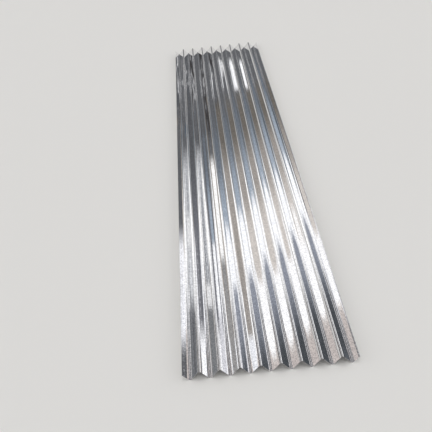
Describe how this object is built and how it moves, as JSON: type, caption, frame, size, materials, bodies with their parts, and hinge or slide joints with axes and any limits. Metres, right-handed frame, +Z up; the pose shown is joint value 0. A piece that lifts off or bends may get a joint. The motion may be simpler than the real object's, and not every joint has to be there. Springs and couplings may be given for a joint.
{
  "type": "corrugated metal sheet",
  "caption": "Long corrugated galvanized steel sheet: deep waves along its length with straight flanks and rounded bends, turned-up side edges and square-cut ends.",
  "frame": {"origin": "under the middle of the sheet, on the plane that the undersides of its troughs rest on", "axes": "+X across the waves, towards one long edge; +Y along the waves; +Z up, from the troughs to the crests"},
  "size_m": [0.665, 3.66, 0.036],
  "materials": {
    "galvanized_steel": "bright zinc with a fine spangle"
  },
  "bodies": {
    "root": {"corrugated_sheet": "galvanized_steel"}
  },
  "joints": []
}
